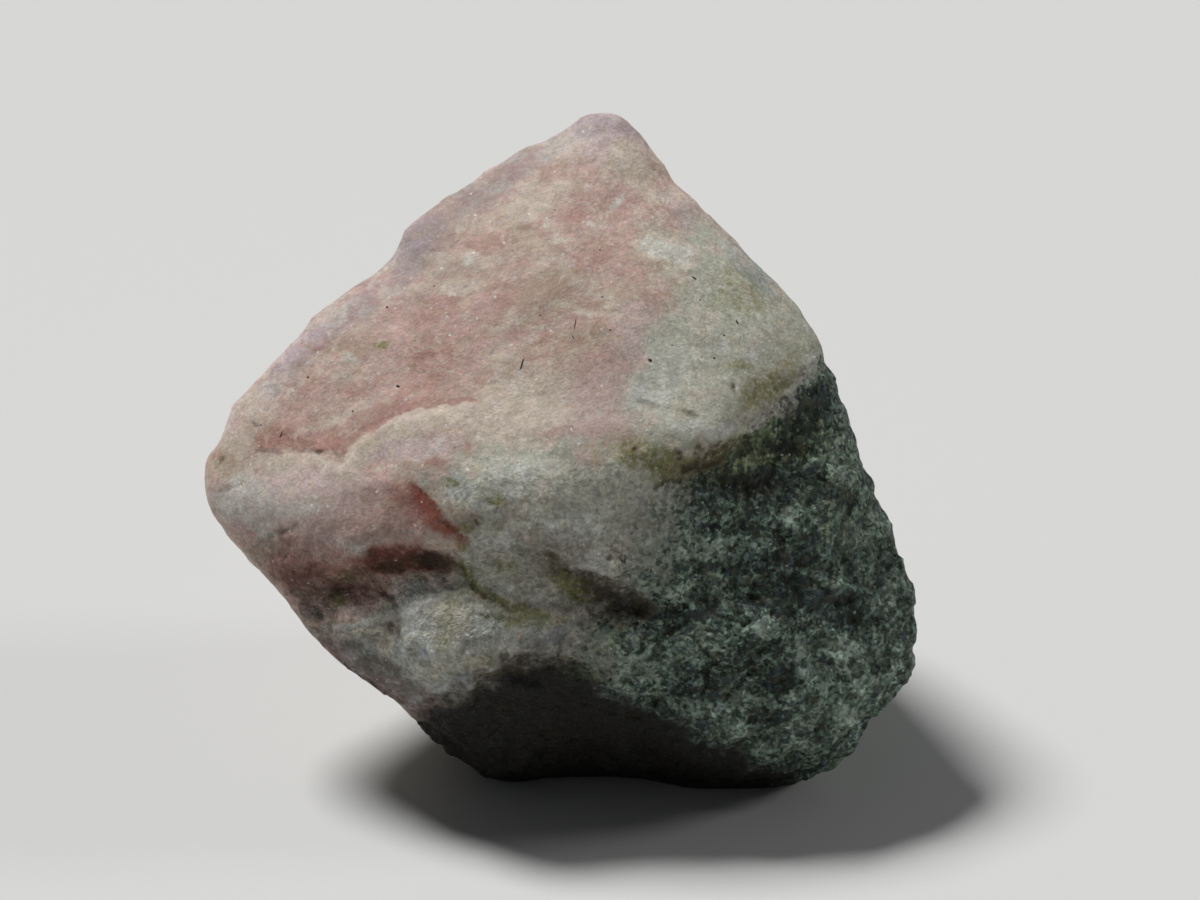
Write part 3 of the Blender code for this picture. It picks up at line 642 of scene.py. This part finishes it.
def surface_relief(points, rough, knobby):
    """Height of the rock's own roughness in mm."""
    # Pattern, and its height in mm: everywhere, added on rough rock, added on knobby rock.
    patterns = [
        (knobs(points, 0.8, 22, 3), 0.020, 0.12, 0.05),
        (knobs(points, 0.3, 23, 2), 0.005, 0.045, 0.02),
        (fracture(points, 1.7, 5), 0.025, 0.11, 0.03),
        (fracture(points, 0.6, 6), 0.012, 0.08, 0.045),
    ]
    relief = SWELL + 0.04 * lumps(layered(points), 1.5, 21, 2)
    for pattern, everywhere, on_rough, on_knobby in patterns:
        relief += (everywhere + on_rough * rough + on_knobby * knobby) * pattern
    for tip, radius, rise in TIPS:
        relief += rise * bell(np.linalg.norm(points - np.array(tip), axis=1), radius)
    return relief


def hollowness(points, edges, normals):
    """How deep each point lies: 0.5 on flat rock, more in hollows and less on knobs."""
    depth = ((smoothed(points, edges, 14, (0.6,)) - points) * normals).sum(1)
    return np.clip(0.5 + depth / 0.16, 0.0, 1.0)


def give_relief(mesh):
    """Moves the mesh's points into the rock's surface, and writes the zones on it."""
    points = read_rows(mesh.vertices, "co")
    edges = read_edges(mesh)
    normals = read_rows(mesh.vertices, "normal")
    facing = normals @ TO_CAMERA
    down = picture_place(points)[1]
    zones = rock_zones(points, facing)
    turned_away = ramp(0.1, -0.4, facing)
    rough = np.maximum(zones["dark"], 0.8 * np.maximum(zones["under"], turned_away))
    knobby = ramp(*KNOBBY_FROM, down) * ramp(0.0, 0.3, facing)
    front = ramp(*RELIEF_FACING, facing)
    across, down_bent = bent_place(points, LINE_BENDS, 0.0)
    towards_camera = front_relief(across, down_bent) * front
    shape = surface_relief(points, rough, knobby)[:, None] * normals + towards_camera[:, None] * TO_CAMERA
    shape *= ramp(0.0, FLOOR_FADE, points[:, 2])[:, None]
    moved = smoothed(points + shape, edges, 1, (0.35,))
    moved[:, 2] = np.where(points[:, 2] < REST_HEIGHT, 0.0, np.maximum(moved[:, 2], 0.0))
    zones["hollow"] = hollowness(moved, edges, normals)
    zones["crack"] = crack_dirt(points, across, down_bent) * front
    zones["coarse"] = np.maximum(rough, 0.9 * knobby)
    grainy_albite = (0.35 + 0.75 * ramp(*GRAINY_FROM, down)) * zones["albite"]
    zones["grainy"] = np.maximum(zones["coarse"], grainy_albite)
    write_points(mesh, moved * METRES_PER_MM)
    for kind, amount in zones.items():
        layer = mesh.attributes.new(kind, "FLOAT", "POINT").data
        layer.foreach_set("value", amount.astype(np.float32))


class Nodes:
    """Short calls for building a node tree."""

    def __init__(self, name):
        self.material = bpy.data.materials.new(name)
        self.material.use_nodes = True
        self.tree = self.material.node_tree
        self.shader = self.tree.nodes["Principled BSDF"]

    def put(self, socket, value):
        if isinstance(value, bpy.types.NodeSocket):
            self.tree.links.new(value, socket)
        elif socket.type == "RGBA":
            socket.default_value = (*value, 1.0)
        else:
            socket.default_value = value

    def shade_with(self, **values):
        """Sets the shader's own sockets, named with a _ for each space."""
        for name, value in values.items():
            self.put(self.shader.inputs[name.replace("_", " ")], value)

    def add(self, kind, inputs=None, **settings):
        node = self.tree.nodes.new("ShaderNode" + kind)
        for name, value in settings.items():
            setattr(node, name, value)
        for key, value in (inputs or {}).items():
            self.put(node.inputs[key], value)
        return node

    def math(self, operation, first, second=0.0, third=0.0):
        return self.add("Math", {0: first, 1: second, 2: third}, operation=operation).outputs[0]

    def plus(self, base, value, gain):
        """The base value with a multiple of another value added."""
        return self.math("MULTIPLY_ADD", value, gain, base)

    def vector(self, operation, first, second):
        return self.add("VectorMath", {0: first, 1: second}, operation=operation).outputs[0]

    def sway(self, base, noise_value, gain):
        """The base value moved up and down by a noise of 0 to 1."""
        return self.plus(base, self.math("SUBTRACT", noise_value, 0.5), gain)

    def between(self, first, second, share):
        """The first value moved a share of the way to the second."""
        return self.plus(first, self.math("SUBTRACT", second, first), share)

    def amount(self, kind):
        """How much of a kind of rock shows, as written on the mesh."""
        return self.add("Attribute", attribute_name=kind).outputs["Fac"]

    def spread(self, value, low, high, to_low=0.0, to_high=1.0):
        inputs = {"Value": value, "From Min": low, "From Max": high, "To Min": to_low, "To Max": to_high}
        return self.add("MapRange", inputs, interpolation_type="SMOOTHSTEP").outputs["Result"]

    def part_of(self, value, low, high, share):
        """A share that comes in as the value goes from low to high."""
        return self.math("MULTIPLY", self.spread(value, low, high), share)

    def mix(self, share, first, second, blend="MIX"):
        inputs = {0: share, 6: first, 7: second}
        return self.add("Mix", inputs, data_type="RGBA", blend_type=blend).outputs[2]

    def times(self, colour, value):
        """The colour made lighter or darker by a value."""
        grey = self.add("CombineColor", {0: value, 1: value, 2: value}).outputs[0]
        return self.mix(1.0, colour, grey, "MULTIPLY")

    def channel(self, colour, number):
        return self.add("SeparateColor", {"Color": colour}).outputs[number]

    def place_in_mm(self):
        return self.vector("MULTIPLY", self.add("TexCoord").outputs["Object"], (1.0 / METRES_PER_MM,) * 3)

    def noise(self, spot, size, detail, roughness=0.5):
        inputs = {"Vector": spot, "Scale": 1.0 / size, "Detail": detail, "Roughness": roughness}
        return self.add("TexNoise", inputs)

    def cells(self, spot, size):
        """Cells about size mm wide, each with a random colour."""
        return self.add("TexVoronoi", {"Vector": spot, "Scale": 1.0 / size}).outputs["Color"]


CREAM = (0.56, 0.475, 0.395)
PINK = (0.48, 0.315, 0.275)
DEEP_PINK = (0.38, 0.205, 0.17)
LILAC = (0.52, 0.415, 0.40)
TAN = (0.36, 0.27, 0.19)
OCHRE = (0.42, 0.34, 0.20)
ALBITE = (0.40, 0.41, 0.335)
WHITE = (0.58, 0.585, 0.53)
OLIVE = (0.175, 0.178, 0.045)
# Grey rock, and painted shade on the lower front.
GREY = (0.17, 0.155, 0.14)
# Deep rose red, partly painted shade in recesses and creases.
ROSE = (0.27, 0.078, 0.052)
BROWN = (0.055, 0.035, 0.010)
HOST_BLACK = (0.018, 0.029, 0.022)
HOST_GREEN = (0.119, 0.180, 0.136)
HOST_PALE = (0.315, 0.39, 0.325)
HOST_OLIVE = (0.11, 0.105, 0.05)
HOST_BLUE = (0.10, 0.135, 0.155)
MURK = (0.15, 0.165, 0.13)
# Painted shade: the underside's near black, darker than its rock.
UNDERSIDE_SHADE = (0.008, 0.007, 0.005)
GLINT = (0.85, 0.85, 0.82)
NEEDLE_BLACK = (0.012, 0.013, 0.008)
NEEDLE_BROWN = (0.035, 0.028, 0.016)
# These are multiplied with what they cover.
# Painted shade, multiplied in where the darkening patches lie.
PAINTED_SHADE_TINT = (0.37, 0.32, 0.29)
# A violet tint; along the upper left edge it is painted shade.
VIOLET = (0.84, 0.87, 0.97)
HOST_STAIN = (1.0, 0.93, 0.60)

# The rock's patterns: size in mm, seed, detail.
STREAKS = (0.9, 1, 5.0)
THIN_STREAKS = (0.32, 9, 4.0)
PATTERNS = {
    "shade": (0.4, 2, 6.0), "edge": (0.9, 3, 7.0), "ochre": (0.45, 4, 7.0), "fleck": (0.25, 5, 7.0),
    "grit": (0.10, 6, 2.0), "cloud": (1.0, 7, 5.0), "fine": (0.20, 8, 3.0),
}
STREAK_SCALE = (0.6, 1.0, 1.0)
PATTERN_ROUGHNESS = 0.66
# Grains, clusters of grains and sparkling grains, and the noise that bends their edges, in mm.
GRAIN_SIZE = 0.12
CLUSTER_SIZE = 0.21
SPARKLE_SIZE = 0.075
WARP_SIZE = 0.15
WARP_REACH = 0.05

# Kinds of rock, stains and painted shade, laid one over another: kind, share, colour, the pattern that
# breaks its edge up, how much it does, half width of the soft edge, and the amount at its middle.
ROCK_COVERS = [
    ("pink", 0.85, PINK, "tone", 0.5, 0.45, 0.42),
    ("lilac", 0.75, LILAC, "tone", 0.5, 0.45, 0.45),
    ("tan", 0.6, TAN, "tone", 0.6, 0.4, 0.48),
    ("deep", 0.9, DEEP_PINK, "tone", 0.5, 0.45, 0.48),
    ("albite", 0.92, ALBITE, "edge", 0.6, 0.4, 0.5),
    ("cream", 0.85, CREAM, "tone", 0.5, 0.4, 0.48),
    ("white", 0.7, WHITE, "edge", 0.7, 0.4, 0.5),
    # grey is painted shade on the lower front and grey rock on the hidden sides.
    ("grey", 0.85, GREY, "shade", 0.7, 0.45, 0.5),
]
STAIN_AND_SHADE_COVERS = [
    # rose and brown are partly painted shade, in the recesses and creases.
    ("rose", 0.95, ROSE, "shade", 0.4, 0.5, 0.55),
    ("olive", 0.85, OLIVE, "fine", 0.8, 0.45, 0.5),
    ("murk", 0.8, MURK, "fine", 0.8, 0.45, 0.5),
    ("brown", 0.92, BROWN, "fine", 0.5, 0.5, 0.55),
]
HOST_STAIN_COVER = ("olive", 1.0, HOST_STAIN, "fine", 0.5, 0.5, 0.5)
VIOLET_COVER = ("violet", 1.0, VIOLET, "edge", 0.9, 0.5, 0.5)

ROCK_IOR = 1.52
ROCK_SPECULAR = 0.3
ROCK_ROUGHNESS = (0.50, 0.78)
GLINT_POLISH = 0.35
BUMP_METRES = 0.000024
BUMP_STRENGTH = (0.35, 1.0)
NEEDLE_ROUGHNESS = (0.3, 0.55)
NEEDLE_TINT_SIZE = 0.08


class RockNodes(Nodes):
    """The rock's node tree, with the patterns that its colours share."""

    def __init__(self, name):
        super().__init__(name)
        self.mm = self.place_in_mm()
        turned = self.add("Mapping", {"Vector": self.mm, "Rotation": (0.0, -LAYER_ANGLE, 0.0)},
                          vector_type="TEXTURE").outputs[0]
        streak = self.vector("MULTIPLY", turned, STREAK_SCALE)
        self.patterns = {name: self.rough_noise(self.mm, *values) for name, values in PATTERNS.items()}
        thin_streaks = self.math("MULTIPLY", self.rough_noise(streak, *THIN_STREAKS), 0.4)
        self.patterns["tone"] = self.plus(thin_streaks, self.rough_noise(streak, *STREAKS), 0.6)
        warp = self.noise(self.mm, WARP_SIZE, 2.0).outputs["Color"]
        warped = self.vector("ADD", self.mm, self.vector("MULTIPLY", warp, (WARP_REACH,) * 3))
        self.grain = self.channel(self.cells(warped, GRAIN_SIZE), 0)
        clusters = self.cells(warped, CLUSTER_SIZE)
        self.cluster_tint = self.channel(clusters, 2)
        speck = self.between(self.grain, self.channel(clusters, 0), 0.4)
        self.speck = self.between(speck, self.patterns["fine"], 0.25)

    def rough_noise(self, spot, size, seed, detail):
        """Noise with much fine detail, spread over about 0 to 1."""
        moved = self.vector("ADD", spot, (seed * 3.1, seed * 7.7, seed * 5.3))
        return self.spread(self.noise(moved, size, detail, PATTERN_ROUGHNESS).outputs["Fac"], 0.30, 0.70)

    def cover(self, colour, kind, share, paint, pattern, wobble, soft, level, blend="MIX"):
        """Paints over the colour where a kind of rock is, its edge broken up by a pattern."""
        swing = self.sway(1.0, self.patterns[pattern], 1.6 * wobble)
        swung = self.math("MULTIPLY", self.amount(kind), swing)
        return self.mix(self.part_of(swung, level - soft, level + soft, share), colour, paint, blend)


def pale_rock(n):
    """The pink, cream and white rock with its stains and painted shade."""
    colour = n.mix(n.spread(n.patterns["tone"], 0.2, 0.8), CREAM, PINK)
    colour = n.mix(n.part_of(n.patterns["edge"], 0.5, 1.0, 0.3), colour, TAN)
    for row in ROCK_COVERS:
        colour = n.cover(colour, *row)
    colour = n.mix(n.part_of(n.patterns["fleck"], 0.6, 1.0, 0.35), colour, WHITE)
    colour = n.mix(n.part_of(n.patterns["ochre"], 0.62, 1.0, 0.35), colour, OCHRE)
    for row in STAIN_AND_SHADE_COVERS:
        colour = n.cover(colour, *row)
    return colour


def host_rock(n):
    """The dark host rock: black, green, pale, olive and bluish grains, with some painted light."""
    clouds = n.spread(n.patterns["cloud"], 0.0, 1.0, 0.26, 0.80)
    # Pale grains, and painted light on raised lumps and the right edge.
    light = n.plus(clouds, n.amount("pale_and_lit_host"), 0.55)
    light = n.plus(light, n.amount("black_host"), -0.5)
    light = n.sway(light, n.speck, n.plus(1.3, n.amount("calm_host"), -0.5))
    colour = n.mix(n.spread(light, 0.10, 0.85), HOST_BLACK, HOST_GREEN)
    colour = n.mix(n.spread(light, 0.55, 1.35), colour, HOST_PALE)
    colour = n.mix(n.part_of(n.patterns["ochre"], 0.5, 1.0, 0.45), colour, HOST_OLIVE)
    colour = n.mix(n.part_of(n.cluster_tint, 0.55, 0.95, 0.35), colour, HOST_BLUE)
    colour = n.cover(colour, *HOST_STAIN_COVER, "MULTIPLY")
    return n.times(colour, n.spread(n.speck, 0.0, 1.0, 0.85, 1.15))


def whole_rock(n):
    """The pale and the host rock side by side, and the underside painted near black as shade."""
    dark = n.plus(-0.5, n.amount("dark"), 2.0)
    dark = n.sway(dark, n.patterns["edge"], -0.7)
    dark = n.sway(dark, n.speck, -0.8)
    colour = n.mix(n.spread(dark, 0.05, 0.95), pale_rock(n), host_rock(n))
    # Painted shade: the underside turns near black.
    under = n.sway(n.plus(-0.3, n.amount("under"), 1.6), n.patterns["shade"], 0.3)
    return n.mix(n.spread(under, 0.0, 1.1), colour, UNDERSIDE_SHADE)


def with_painted_shade_and_dirt(n, colour):
    """The colour with painted shade, a violet tint, brown in the deepest hollows and dirt in cracks."""
    # Painted shade, multiplied into the colour.
    painted_shade = n.math("MULTIPLY", n.amount("painted_shade"), n.sway(1.0, n.patterns["shade"], 1.2))
    colour = n.mix(n.math("MINIMUM", painted_shade, 1.0), colour, PAINTED_SHADE_TINT, "MULTIPLY")
    colour = n.cover(colour, *VIOLET_COVER, "MULTIPLY")
    # Brown laid in where the surface lies deepest in a hollow.
    colour = n.mix(n.part_of(n.amount("hollow"), 0.66, 1.0, 0.3), colour, BROWN)
    return n.mix(n.math("MULTIPLY", n.amount("crack"), 0.55), colour, BROWN)


def grained(n, colour):
    """The colour with each grain a bit lighter or darker than the next."""
    coarse = n.math("MULTIPLY", n.math("SUBTRACT", n.speck, 0.5), n.amount("grainy"))
    light = n.plus(n.spread(n.grain, 0.0, 1.0, 0.92, 1.08), coarse, 0.62)
    for pattern in ("shade", "grit"):
        light = n.math("MULTIPLY", light, n.spread(n.patterns[pattern], 0.0, 1.0, 0.90, 1.09))
    return n.times(colour, light)


def rock_material():
    n = RockNodes("tugtupite_rock")
    sparkle = n.channel(n.cells(n.mm, SPARKLE_SIZE), 1)
    glint = n.math("MULTIPLY", n.spread(sparkle, 0.994, 0.999), n.math("SUBTRACT", 1.0, n.amount("under")))
    colour = grained(n, with_painted_shade_and_dirt(n, whole_rock(n)))
    colour = n.mix(n.math("MULTIPLY", glint, 0.4), colour, GLINT)
    roughness = n.spread(n.patterns["grit"], 0.0, 1.0, *ROCK_ROUGHNESS)
    roughness = n.plus(roughness, glint, -GLINT_POLISH)
    height = n.plus(n.plus(n.patterns["grit"], n.patterns["shade"], 1.0), n.grain, 0.7)
    strength = n.spread(n.amount("coarse"), 0.0, 1.0, *BUMP_STRENGTH)
    bump = n.add("Bump", {"Height": height, "Strength": strength, "Distance": BUMP_METRES})
    n.shade_with(Base_Color=colour, Roughness=roughness, Normal=bump.outputs[0])
    n.shade_with(IOR=ROCK_IOR, Specular_IOR_Level=ROCK_SPECULAR)
    return n.material


def needle_material():
    n = Nodes("aegirine")
    tint = n.noise(n.place_in_mm(), NEEDLE_TINT_SIZE, 2.0).outputs["Fac"]
    roughness = n.spread(tint, 0.2, 0.8, *NEEDLE_ROUGHNESS)
    n.shade_with(Base_Color=n.mix(tint, NEEDLE_BLACK, NEEDLE_BROWN), Roughness=roughness)
    return n.material


# Needles and specks on the front: across, down, length and width in mm, turn in degrees up to the right.
FRONT_NEEDLES = [
    (522, 364, 0.40, 0.055, 100), (575, 325, 0.50, 0.035, 92), (573, 337, 0.16, 0.04, 50),
    (398, 386, 0.15, 0.11, 0), (387, 307, 0.09, 0.08, 40), (281, 435, 0.22, 0.05, 100),
    (353, 411, 0.10, 0.06, 60), (602, 297, 0.08, 0.06, 0), (650, 360, 0.15, 0.11, 30),
    (737, 322, 0.18, 0.07, 80), (694, 278, 0.22, 0.06, 55), (714, 358, 0.09, 0.07, 0),
    (724, 335, 0.08, 0.06, 20), (308, 377, 0.09, 0.08, 0), (261, 425, 0.07, 0.06, 0),
    (600, 250, 0.06, 0.05, 10), (540, 315, 0.06, 0.05, 60), (610, 330, 0.07, 0.05, 30),
    (672, 345, 0.07, 0.05, 0), (700, 300, 0.07, 0.05, 0), (555, 210, 0.07, 0.04, 40),
    (470, 330, 0.06, 0.04, 0), (434, 286, 0.06, 0.05, 0), (590, 480, 0.06, 0.04, 0),
]

# Needles and specks on the sides and the back, thrown in from a ring around the stone.
BACK_NEEDLES = 34
BACK_SEED = 7
BACK_AZIMUTHS = (55.0, 305.0)
BACK_HEIGHTS = (8.0, 19.0)
BACK_RADIUS = 30.0
BACK_AIM = (5.0, 3.0)
BACK_DROP = 1.5
# Their lengths and widths in mm, and turns in degrees.
BACK_FORMS = ((0.06, 0.4), (0.04, 0.07), (0.0, 180.0))

# A needle's cross-sections: place in lengths, thickness in widths.
NEEDLE_RINGS = ((-0.5, 0.15), (-0.32, 0.8), (0.0, 1.0), (0.3, 0.75), (0.5, 0.12))
NEEDLE_SIDES = 6
NEEDLE_ROLL = 20.0
NEEDLE_FLATNESS = 0.7


def add_needle(work, centre, along, normal, length, width):
    """A six-sided grain pointed at both ends, half sunk in the surface."""
    side = normal.cross(along).normalized()
    rings = []
    for share, thick in NEEDLE_RINGS:
        ring = []
        for corner in range(NEEDLE_SIDES):
            angle = radians(360.0 / NEEDLE_SIDES * corner + NEEDLE_ROLL)
            out = side * cos(angle) + normal * (NEEDLE_FLATNESS * sin(angle))
            ring.append(work.verts.new(centre + along * (share * length) + out * (0.5 * width * thick)))
        rings.append(ring)
    for lower, upper in zip(rings[:-1], rings[1:]):
        for corner in range(NEEDLE_SIDES):
            after = (corner + 1) % NEEDLE_SIDES
            work.faces.new((lower[corner], lower[after], upper[after], upper[corner]))
    work.faces.new(rings[0][::-1])
    work.faces.new(rings[-1])


def front_sight(across, down):
    """The line of sight from the camera through a place on the picture."""
    beside = (across - PICTURE_MIDDLE[0]) / PIXELS_PER_MM
    above = (PICTURE_MIDDLE[1] - down) / PIXELS_PER_MM
    target = CAMERA_AIM + RIGHT * beside + UP * above
    return Vector(CAMERA_PLACE), Vector(target - CAMERA_PLACE).normalized()


def back_sight(dice):
    """A random line from the ring around the stone to its middle."""
    azimuth = radians(dice.uniform(*BACK_AZIMUTHS))
    across, towards = BACK_RADIUS * sin(azimuth), -BACK_RADIUS * cos(azimuth)
    start = Vector((across, towards, dice.uniform(*BACK_HEIGHTS)))
    aim = [dice.uniform(-reach, reach) for reach in BACK_AIM]
    return start, (Vector((*aim, start.z - BACK_DROP)) - start).normalized()


def set_needle(work, tree, sight, length, width, turn, back_only):
    """A needle where the line of sight meets the stone. One for the back only is left out on the front."""
    spot, normal, _, _ = tree.ray_cast(*sight)
    if spot is None or (back_only and normal.dot(Vector(TO_CAMERA)) > 0.0):
        return
    angle = radians(turn)
    level = normal.cross(Vector((0.0, 0.0, 1.0))).normalized()
    along = level * cos(angle) + level.cross(normal) * sin(angle)
    add_needle(work, spot, along, normal, length, width)


def make_needles(stone):
    """Dark needles and specks, set in the stone's surface."""
    corners = [vertex.co / METRES_PER_MM for vertex in stone.data.vertices]
    tree = BVHTree.FromPolygons(corners, [tuple(face.vertices) for face in stone.data.polygons])
    work = bmesh.new()
    for across, down, *form in FRONT_NEEDLES:
        set_needle(work, tree, front_sight(across, down), *form, False)
    dice = random.Random(BACK_SEED)
    for _ in range(BACK_NEEDLES):
        sight = back_sight(dice)
        form = [dice.uniform(*span) for span in BACK_FORMS]
        set_needle(work, tree, sight, *form, True)
    mesh = bpy.data.meshes.new("aegirine_needles")
    work.to_mesh(mesh)
    work.free()
    write_points(mesh, read_rows(mesh.vertices, "co") * METRES_PER_MM)
    return make_piece("aegirine_needles", mesh, needle_material())


def make_stone():
    mesh = fine_mesh(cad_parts[STONE_NODE])
    refine_front(mesh)
    give_relief(mesh)
    mesh.shade_smooth()
    return make_piece("tugtupite_rock_skin", mesh, rock_material())


def make_floor():
    half = FLOOR_HALF_METRES
    mesh = bpy.data.meshes.new("floor")
    corners = [(-half, -half, 0.0), (half, -half, 0.0), (half, half, 0.0), (-half, half, 0.0)]
    mesh.from_pydata(corners, [], [(0, 1, 2, 3)])
    n = Nodes("pale_floor")
    n.shade_with(Base_Color=FLOOR_COLOUR, Roughness=FLOOR_ROUGHNESS)
    make_piece("floor", mesh, n.material)


def make_sun(name, azimuth, elevation, strength, spread_degrees):
    """A soft far light. Azimuth 0 is on the camera's side and 90 on the right."""
    turn, height = radians(azimuth), radians(elevation)
    level = cos(height)
    towards_light = (sin(turn) * level, -cos(turn) * level, sin(height))
    light = bpy.data.lights.new(name, "SUN")
    light.energy = strength
    light.angle = radians(spread_degrees)
    lamp = place(name, light)
    lamp.rotation_mode = "QUATERNION"
    lamp.rotation_quaternion = Vector(towards_light).to_track_quat("Z", "Y")


def light_studio():
    for sun in SUNS:
        make_sun(*sun)
    world = bpy.data.worlds.new("studio")
    world.use_nodes = True
    background = world.node_tree.nodes["Background"]
    background.inputs["Color"].default_value = SKY_COLOUR
    background.inputs["Strength"].default_value = SKY_STRENGTH
    bpy.context.scene.world = world


def make_camera():
    lens = bpy.data.cameras.new("camera")
    lens.lens = CAMERA_LENS
    lens.sensor_width = CAMERA_SENSOR
    lens.clip_start, lens.clip_end = CAMERA_CLIP_METRES
    camera = place("camera", lens)
    camera.location = Vector(CAMERA_PLACE * METRES_PER_MM)
    camera.rotation_mode = "QUATERNION"
    camera.rotation_quaternion = Vector(TO_CAMERA).to_track_quat("Z", "Y")
    bpy.context.scene.camera = camera


stone = make_stone()
needles = make_needles(stone)
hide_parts(STONE_NODE)
for piece in (stone, needles):
    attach(piece, BODY)
make_floor()
light_studio()
make_camera()
bpy.context.scene.view_settings.view_transform = "Standard"
